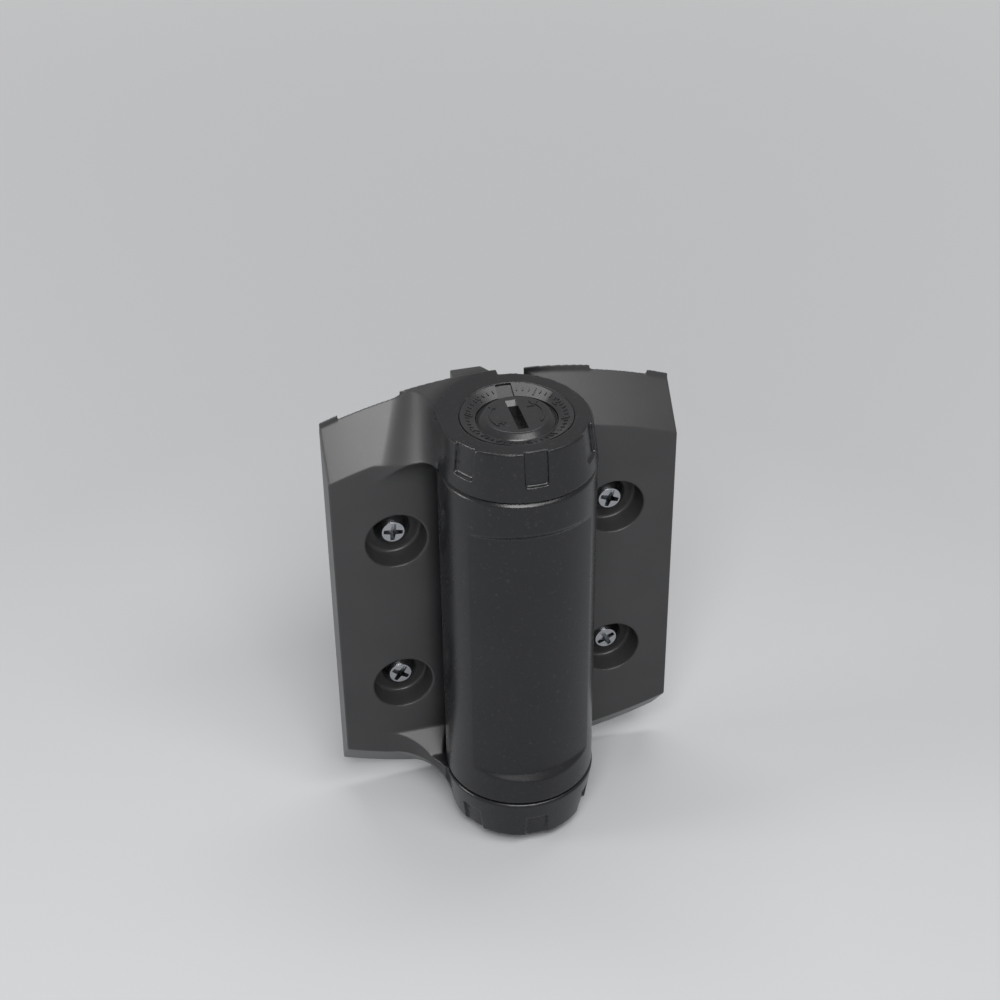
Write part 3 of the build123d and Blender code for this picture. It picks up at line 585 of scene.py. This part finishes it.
def model_gate_leaf():
    """plate and barrel with the sunk panel and the bores, as one moulding"""
    profile = [(0, BARREL_LOW), (BARREL_R - BARREL_FOOT, BARREL_LOW),
               (BARREL_R, BARREL_LOW + BARREL_FOOT), (BARREL_R, BARREL_TOP - BARREL_EDGE),
               (BARREL_R - BARREL_EDGE, BARREL_TOP), (0, BARREL_TOP)]
    barrel = turned("barrel", profile, 300)
    # the panel's floor is an arc about a line behind the pivot, which meets the barrel at both sides
    floor = BARREL_R - PANEL_SINK
    side = BARREL_R * math.cos(math.radians(PANEL_HALF_ANGLE))
    behind = (BARREL_R**2 - floor**2) / (2 * (floor - side))
    sunk = floor + behind
    out = sunk + PANEL_END_OUT
    panel = [(sunk, PANEL_LOW), (sunk, PANEL_HIGH), (out, PANEL_HIGH + PANEL_END_ALONG),
             (out, PANEL_LOW - PANEL_END_ALONG), (sunk, PANEL_LOW)]
    cut(barrel, place(turned("panel", panel, 540), Matrix.Translation((0, behind, 0))))
    leaf = leaf_plate(GATE_INNER_X, LEAF_REACH, GATE_LIPS)
    cut(leaf, disc(COLLAR_CLEAR, BARREL_TOP, FAR))
    cut(leaf, disc(COLLAR_CLEAR, -FAR, BARREL_LOW))
    add(leaf, barrel)
    cut(leaf, disc(SPRING_BORE, -FAR, FAR, 96))
    for sign, end in ((1, BARREL_TOP), (-1, -BARREL_LOW)):
        seat = end - WASHER_DEPTH
        deep = seat - BUSH_DEPTH
        bore = [(0, deep), (BUSH_BORE, deep), (BUSH_BORE, seat), (WASHER_BORE, seat),
                (WASHER_BORE, end + 5), (0, end + 5)]
        cut(leaf, place(turned("bore", bore, 120), Matrix.Scale(sign, 4, (0, 0, 1))))
    cut(leaf, disc(HOLDER_BORE, *HOLDER_ENDS, 96))
    cut(leaf, block(HOLDER_KEY_X, (-KEY_HALF, KEY_HALF), HOLDER_ENDS))
    fixing_cuts(leaf, 1)
    leaf.name = "gate_leaf_moulding"
    return leaf


# The dial and its ring

def dish(radius):
    """the height of the ring's dished face"""
    return DISH_INNER + (radius - RING_BORE) * DISH_FALL / (RING_R - RING_BORE)


def curled(piece, radius, angle):
    """lays a flat shape on the dish: its X runs clockwise and its Y outwards from the radius"""
    for vertex in piece.data.vertices:
        x, y, z = vertex.co
        turn = math.radians(angle) - x / radius
        reach = radius + y
        vertex.co = (reach * math.cos(turn), reach * math.sin(turn), dish(reach) + z)
    return piece


def numeral(digit, tall):
    """a raised figure, centred on the origin"""
    edge = 0.05
    bpy.ops.object.select_all(action="DESELECT")
    bpy.ops.object.text_add()
    text = bpy.context.object.data
    text.body = digit
    # a figure is 0.7 of its font's size
    text.size = tall / 0.7
    text.offset = 0.01
    text.extrude = RELIEF - edge
    text.bevel_depth = edge
    text.bevel_resolution = 1
    text.resolution_u = 5
    text.align_x = "CENTER"
    text.align_y = "CENTER"
    bpy.ops.object.convert(target="MESH")
    figure = bpy.context.object
    open_up(figure)
    close_up()
    return figure


def scale_marks():
    """nine figures round the ring from the channel on, with four ticks between neighbours"""
    marks = []
    for n in range(1, 10):
        marks.append(curled(numeral(str(n), FIGURE_TALL), FIGURE_AT, 90 - n * FIGURE_STEP))
    tick = eased(block((-0.16, 0.16), (-0.5, 0.5), (-RELIEF, RELIEF), "tick"), 0.06)
    for n in range(10):
        for part in range(1, 5):
            # the first and the last one would stand in the channel
            if (n, part) not in ((0, 1), (9, 4)):
                marks.append(curled(twin(tick, Matrix()), TICK_AT, 90 - (n + part / 5) * FIGURE_STEP))
    bpy.data.objects.remove(tick)
    return marks


def teeth(low, high, first):
    """the locking teeth, which the ring has below and the dial's flange has above"""
    tooth = block(TOOTH_X, (-TOOTH_HALF, TOOTH_HALF), (low, high), "teeth")
    return row_round(tooth, TEETH, first)


def model_dial_ring():
    """the dished ring with its channel at the back, its scale, and the teeth below"""
    section = [(RING_BORE, RING_SEAT), (RING_R, RING_SEAT), (RING_R, DISH_INNER + DISH_FALL),
               (RING_BORE, DISH_INNER), (RING_BORE, RING_SEAT)]
    ring = turned("ring", section)
    fall = [(9.0, DISH_INNER - CHANNEL_FALL), (15.0, DISH_INNER + CHANNEL_FALL), (15.0, 70), (9.0, 70)]
    cut(ring, slab("channel", fall, "X", -CHANNEL_HALF, CHANNEL_HALF))
    trim_to_arch(ring, TOP_CROWN - HAIR, 20, 1)
    add(ring, teeth(RING_SEAT - 1.2, RING_SEAT + 0.15, 0.0))
    return together([eased(ring, 0.08)] + scale_marks(), "dial_ring_face")


def curved_arrow(start, end):
    """a raised arrow round the dial that ends in its head"""
    neck = end - math.copysign(17, end - start)
    middle = (ARROW_INNER + ARROW_OUTER) / 2

    def at(radius, angle):
        return arc((0, 0), radius, angle, angle, 1)[0]

    outline = arc((0, 0), ARROW_OUTER, start, neck, 16)
    outline += [at(ARROW_OUTER + 0.7, neck), at(middle, end), at(ARROW_INNER - 0.7, neck)]
    outline += arc((0, 0), ARROW_INNER, neck, start, 16)
    return eased(slab("arrow", outline, "Z", DIAL_TOP - RELIEF, DIAL_TOP + RELIEF), 0.07)


def model_tension_dial():
    """the slotted dial with its round rim, seal groove, toothed flange, stem and square end"""
    rim = [(DIAL_R - a, DIAL_TOP - b) for a, b in DIAL_RIM]
    stem, flange, groove = 7.5, 13.5, 9.2
    profile = [(0, 46.9), (stem, 46.9), (stem, 59.6), (flange, 59.6), (flange, 61.1), (DIAL_R, 61.1),
               (DIAL_R, 63.8), (groove, 63.8), (groove, rim[0][1]), *rim, (0, DIAL_TOP)]
    dial = turned("dial", profile)
    add(dial, teeth(60.9, 62.3, 11.25))
    add(dial, block((-4, 4), (-4, 4), (41.9, 47.5)))
    # the screwdriver slot has a ramp at its far end
    deep = DIAL_TOP - SLOT_DEPTH
    side = [(-SLOT_REACH, deep), (RAMP_FROM, deep), (RAMP_FROM, DIAL_TOP - RAMP_DEPTH),
            (SLOT_REACH, DIAL_TOP), (SLOT_REACH, 70), (-SLOT_REACH, 70)]
    cut(dial, slab("slot", side, "X", -SLOT_HALF, SLOT_HALF))
    # the holder's screw goes up into the stem
    cut(dial, disc(2.15, 40, 56.05, 48))
    # a minus at the right, a plus at the left, and an arrow beside each
    stroke = block((-0.95, 0.95), (-0.22, 0.22), (DIAL_TOP - RELIEF, DIAL_TOP + RELIEF), "mark")
    stroke = eased(stroke, 0.07)
    right = Matrix.Translation(SIGN_PLACE)
    left = Matrix.Translation([-c for c in SIGN_PLACE])
    signs = [twin(stroke, right), twin(stroke, left), twin(stroke, left @ turn_z(90))]
    bpy.data.objects.remove(stroke)
    arrows = [curved_arrow(215, 125), curved_arrow(-40, 50)]
    return together([eased(dial, 0.08)] + signs + arrows, "tension_dial_body")


# The screws

def thread_ridge(root, crest, pitch, low, high):
    """one ridge wound round the shank"""
    bpy.ops.mesh.primitive_circle_add(vertices=4, radius=1)
    ridge = bpy.context.object
    ridge.name = "thread"
    section = [(root, -0.5), (crest, -0.07), (crest, 0.07), (root, 0.5)]
    for vertex, (radius, height) in zip(ridge.data.vertices, section):
        vertex.co = (radius, 0, low + height)
    turns = round((high - low) / pitch)
    applied(ridge, "SCREW", steps=28, render_steps=28, iterations=turns,
            screw_offset=(high - low) / turns)
    open_up(ridge)
    bpy.ops.mesh.fill_holes(sides=0)
    close_up()
    return ridge


def model_screw():
    """a pan-head screw on Z with its seat at the origin: cross recess, neck, thread and point"""
    head = [(0, -1), (2.3, -1), (2.3, 0), (4.8, 0), (4.9, 0.1), (4.9, 0.45), (4.84, 0.62), (3.13, 2.62),
            (3.0, 2.7), (0, 2.7)]
    screw = turned("screw", head, 96)
    # the cross recess widens from its floor to past the head's top
    cross = []
    for size, height in ((0.6, 0.2), (0.8, 1.0), (1.0, 2.7), (1.03, 2.9)):
        arm_long = 2.6 * size
        arm_wide = 0.3 + 0.25 * size
        inner = arm_wide * 1.35
        quarter = [(arm_long, -arm_wide), (arm_long, arm_wide), (inner, inner)]
        section = []
        for n in range(4):
            turn = turn_z(90 * n)
            section += [turn @ Vector((a, b, height)) for a, b in quarter]
        cross.append(section)
    cut(screw, lofted("cross", cross))
    end, neck, core, taper = -30, 2.3, 2.0, 5
    profile = [(0, end), (core, end), (core, -3), (neck, -3), (neck, -0.5), (0, -0.5)]
    shank = turned("shank", profile, 48)
    thread = thread_ridge(root=1.95, crest=2.72, pitch=1.9, low=-31.0, high=-3.55)
    shank = together([shank, thread], "shank")
    # the point: the last part is drawn in towards the axis
    for vertex in shank.data.vertices:
        x, y, z = vertex.co
        z = max(z, -29.9)
        narrow = min(1, (z - end) / taper)
        vertex.co = (x * narrow, y * narrow, z)
    return together([screw, shank], "screw")


def model_screws(side, turns, name):
    """the upper and the lower screw of one leaf, each turned as it was driven"""
    screw = model_screw()
    pair = []
    for (x, z), angle in zip(screw_places(side), turns):
        pair.append(twin(screw, facing_out(x, z, SCREW_SEAT_Y) @ turn_z(-angle)))
    bpy.data.objects.remove(screw)
    return together(pair, name)


# Finishes. They read each piece's own place in metres, so the grain has its real size.

def finish_nodes(name):
    """a new material with its nodes, its links and its shader"""
    material = bpy.data.materials.new(name)
    material.use_nodes = True
    tree = material.node_tree
    return material, tree.nodes, tree.links, tree.nodes["Principled BSDF"]


def fill_in(node, values):
    """sets several of a node's inputs"""
    for entry, value in values.items():
        node.inputs[entry].default_value = value


def object_place(nodes):
    """the place on the piece"""
    return nodes.new("ShaderNodeTexCoord").outputs["Object"]


def calculated(nodes, links, how, first, second):
    """one operation on two values"""
    step = nodes.new("ShaderNodeMath")
    step.operation = how
    links.new(first, step.inputs[0])
    links.new(second, step.inputs[1])
    return step.outputs["Value"]


def distance(nodes, links, where):
    """how far a place lies from the origin"""
    length = nodes.new("ShaderNodeVectorMath")
    length.operation = "LENGTH"
    links.new(where, length.inputs[0])
    return length.outputs["Value"]


def noise(nodes, links, where, scale, detail):
    """a random pattern of the given fineness, from 0 to 1"""
    pattern = nodes.new("ShaderNodeTexNoise")
    fill_in(pattern, {"Scale": scale, "Detail": detail})
    links.new(where, pattern.inputs["Vector"])
    return pattern.outputs["Fac"]


def spread(nodes, links, source, low, high, start=0.0, end=1.0):
    """maps a value from one range to another"""
    change = nodes.new("ShaderNodeMapRange")
    fill_in(change, {"From Min": start, "From Max": end, "To Min": low, "To Max": high})
    links.new(source, change.inputs["Value"])
    return change.outputs["Result"]


def two_tones(nodes, links, source, shade, dark, light, low=0.3, high=0.75):
    """a shade that goes from a darker to a lighter tone of itself with a value"""
    ramp = nodes.new("ShaderNodeValToRGB")
    ends = ramp.color_ramp.elements
    ends[0].position = low
    ends[1].position = high
    ends[0].color = (*(c * dark for c in shade), 1)
    ends[1].color = (*(c * light for c in shade), 1)
    links.new(source, ramp.inputs["Fac"])
    return ramp.outputs["Color"]


def blended(nodes, links, share, first, second):
    """one colour into another by a share"""
    mix = nodes.new("ShaderNodeMix")
    mix.data_type = "RGBA"
    links.new(share, mix.inputs["Factor"])
    for colour, socket in ((first, "A"), (second, "B")):
        entry = [s for s in mix.inputs if s.name == socket and s.type == "RGBA"][0]
        if isinstance(colour, tuple):
            entry.default_value = (*colour, 1)
        else:
            links.new(colour, entry)
    return [s for s in mix.outputs if s.type == "RGBA"][0]


def roughened(nodes, links, shader, height, strength, depth):
    """fine bumps on a surface; the depth is in metres"""
    bump = nodes.new("ShaderNodeBump")
    fill_in(bump, {"Strength": strength, "Distance": depth})
    links.new(height, bump.inputs["Height"])
    links.new(bump.outputs["Normal"], shader.inputs["Normal"])


def moulded_black(name, shade, rough, grain=0.3, plate_painted_tone=None):
    """satin black moulding: cloudy, finely pitted, with faint paler specks; the flat leaves are coarser
    than the barrel and the collars round the pivot, and are painted greyer, a painted stand-in for the
    barrel's darker reflections"""
    material, nodes, links, shader = finish_nodes(name)
    where = object_place(nodes)
    cloud = noise(nodes, links, where, scale=70.0, detail=5.0)
    colour = two_tones(nodes, links, cloud, shade, 0.86, 1.14)
    gloss = spread(nodes, links, cloud, rough - 0.04, rough + 0.05)
    if plate_painted_tone:
        # painted reflection: the leaves get a greyer colour than the barrel and collars, standing in
        # for the darker surroundings the barrel reflects; their added roughness is the real coarser
        # finish
        centre = nodes.new("ShaderNodeMapping")
        fill_in(centre, {"Location": -PIVOT, "Scale": (1.0, 1.0, 0.0)})
        links.new(where, centre.inputs["Vector"])
        reach = distance(nodes, links, centre.outputs["Vector"])
        coarse_and_painted_share = spread(nodes, links, reach, 0.0, 1.0, start=0.0210, end=0.0255)
        plate = two_tones(nodes, links, cloud, plate_painted_tone, 0.9, 1.1)
        colour = blended(nodes, links, coarse_and_painted_share, colour, plate)
        gloss = calculated(nodes, links, "ADD", gloss, spread(nodes, links, coarse_and_painted_share, 0.0, 0.1))
    specks = noise(nodes, links, where, scale=900.0, detail=6.0)
    specks = spread(nodes, links, specks, 0.0, 0.35, start=0.6, end=0.78)
    colour = blended(nodes, links, specks, colour, (0.06, 0.061, 0.064))
    links.new(colour, shader.inputs["Base Color"])
    links.new(gloss, shader.inputs["Roughness"])
    shader.inputs["Specular IOR Level"].default_value = 0.42
    pits = noise(nodes, links, where, scale=4200.0, detail=2.0)
    roughened(nodes, links, shader, pits, grain, 0.00004)
    return material


def coloured_plastic(name, shade, rough, grain=0.25):
    """plain moulded plastic or rubber of another colour, faintly mottled and pitted"""
    material, nodes, links, shader = finish_nodes(name)
    where = object_place(nodes)
    cloud = noise(nodes, links, where, scale=90.0, detail=4.0)
    links.new(two_tones(nodes, links, cloud, shade, 0.9, 1.0), shader.inputs["Base Color"])
    links.new(spread(nodes, links, cloud, rough - 0.05, rough + 0.06), shader.inputs["Roughness"])
    pits = noise(nodes, links, where, scale=3500.0, detail=2.0)
    roughened(nodes, links, shader, pits, grain, 0.00003)
    return material


def metal(name, shade, rough):
    """plated metal with fine marks and slightly dulled patches"""
    material, nodes, links, shader = finish_nodes(name)
    shader.inputs["Metallic"].default_value = 1.0
    where = object_place(nodes)
    marks = noise(nodes, links, where, scale=700.0, detail=4.0)
    links.new(two_tones(nodes, links, marks, shade, 0.82, 1.0), shader.inputs["Base Color"])
    links.new(spread(nodes, links, marks, rough - 0.06, rough + 0.1), shader.inputs["Roughness"])
    dents = noise(nodes, links, where, scale=2600.0, detail=3.0)
    roughened(nodes, links, shader, dents, 0.05, 0.00002)
    return material


# Putting the pieces in place

def dress(node, material):
    """a node of the frame that keeps its shape gets its finish"""
    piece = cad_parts[node]
    piece.data.materials.clear()
    piece.data.materials.append(material)


def settle(piece, body, material, nodes):
    """a finished piece goes to its place, rides on its body and stands for its nodes"""
    place(piece, TO_ROW)
    piece.data.materials.clear()
    piece.data.materials.append(material)
    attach(piece, body)
    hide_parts(*nodes)
    return piece


# the leaves' paler tone is painted reflection, standing in for the barrel's darker reflections
black = moulded_black("satin_black_moulding", (0.0072, 0.0075, 0.009), 0.27,
                      plate_painted_tone=(0.036, 0.036, 0.0375))
dial_black = moulded_black("dial_black", (0.017, 0.0175, 0.019), 0.24, 0.15)
inner_black = moulded_black("inner_black", (0.022, 0.022, 0.023), 0.48)
pale_nylon = coloured_plastic("pale_nylon", (0.58, 0.57, 0.52), 0.42)
rubber = coloured_plastic("seal_rubber", (0.015, 0.015, 0.016), 0.6, 0.4)
zinc = metal("bright_zinc", (0.40, 0.41, 0.43), 0.2)
spring_steel = metal("spring_steel", (0.42, 0.42, 0.44), 0.32)

settle(softened(model_post_leaf()), "post_side", black, ["post_leaf"])
settle(softened(model_gate_leaf()), "gate_side", black, ["gate_leaf"])
settle(smooth_faces(model_dial_ring()), "post_side", dial_black, ["dial_ring"])
settle(smooth_faces(model_tension_dial()), "dial", dial_black, ["tension_dial"])
settle(smooth_faces(model_screws(-1, (8, 35), "post_screw_pair")), "post_side", zinc, ["post_screws"])
settle(smooth_faces(model_screws(1, (20, 62), "gate_screw_pair")), "gate_side", zinc, ["gate_screws"])

finishes = {"upper_bush": pale_nylon, "lower_bush": pale_nylon, "upper_washer": pale_nylon,
            "lower_washer": pale_nylon, "dial_bush": pale_nylon, "dial_seal": rubber, "pivot_pin": zinc,
            "holder_screw": zinc, "pin_clip": spring_steel, "torsion_spring": spring_steel}
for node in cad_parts:
    dress(node, finishes.get(node, inner_black))


# The floor, the light and the camera

def background_rays(nodes, links):
    """1 for the camera and for what metal and gloss reflect, 0 for the light on the part"""
    rays = nodes.new("ShaderNodeLightPath").outputs
    seen = rays["Is Camera Ray"]
    for kind in ("Is Glossy Ray", "Is Transmission Ray"):
        seen = calculated(nodes, links, "MAXIMUM", seen, rays[kind])
    return seen


def lay_floor():
    """a pale floor under the part, which is kept pale far from the lamps"""
    bpy.ops.mesh.primitive_plane_add(size=8.0, location=(0.03, 0.0, cad_box[0][2] - 0.0005))
    floor = bpy.context.object
    floor.name = "floor"
    pale, nodes, links, shader = finish_nodes("pale_floor")
    fill_in(shader, {"Base Color": (0.53, 0.54, 0.55, 1), "Roughness": 0.9,
                     "Emission Color": (1, 1, 1, 1)})
    away = distance(nodes, links, object_place(nodes))
    far_off = spread(nodes, links, away, 0.0, 0.5, start=0.2, end=1.1)
    glow = calculated(nodes, links, "MULTIPLY", far_off, background_rays(nodes, links))
    links.new(glow, shader.inputs["Emission Strength"])
    floor.data.materials.append(pale)


def lamp(name, place_at, size, power):
    """a soft rectangular lamp that points at the part"""
    bpy.ops.object.light_add(type="AREA", location=place_at)
    light = bpy.context.object
    light.name = name
    light.data.shape = "RECTANGLE"
    light.data.size, light.data.size_y = size
    light.data.energy = power
    aim = Vector((0.03, -0.02, 0.03))
    light.rotation_euler = (aim - Vector(place_at)).to_track_quat("-Z", "Y").to_euler()
    light.visible_camera = False


def paint_walls():
    """the studio's walls are pale to the eye and in reflections, and light the part only faintly"""
    world = bpy.data.worlds.new("studio")
    bpy.context.scene.world = world
    world.use_nodes = True
    nodes, links = world.node_tree.nodes, world.node_tree.links
    sky = nodes["Background"]
    sky.inputs["Color"].default_value = (1, 1, 1, 1)
    strength = spread(nodes, links, background_rays(nodes, links), 0.1, 0.45)
    links.new(strength, sky.inputs["Strength"])


def set_camera():
    """the photograph's camera: its place, its axes in the part's frame and its lens"""
    data = bpy.data.cameras.new("camera")
    camera = bpy.data.objects.new("camera", data)
    bpy.context.scene.collection.objects.link(camera)
    right = Vector((0.96898, -0.24693, -0.01025))
    down = Vector((-0.15092, -0.55834, -0.81578))
    forward = Vector((0.19571, 0.79202, -0.57829))
    turn = Matrix((right, -down, -forward)).transposed().to_4x4()
    camera.matrix_world = Matrix.Translation((-0.0721, -0.4161, 0.3292)) @ turn
    data.lens = 69.84
    data.sensor_width = 36.0
    data.clip_start = 0.01
    bpy.context.scene.camera = camera


lay_floor()
lamp("front_softbox", (-0.08, -0.61, 0.62), (0.5, 0.19), 3.5)
lamp("upper_softbox", (0.10, -0.47, 0.745), (0.8, 0.22), 4.4)
lamp("overhead_softbox", (0.115, 0.25, 0.83), (0.8, 0.24), 2.5)
lamp("left_softbox", (-0.70, 0.01, 0.17), (0.22, 0.24), 1.9)
paint_walls()
set_camera()
bpy.context.scene.view_settings.view_transform = "Standard"
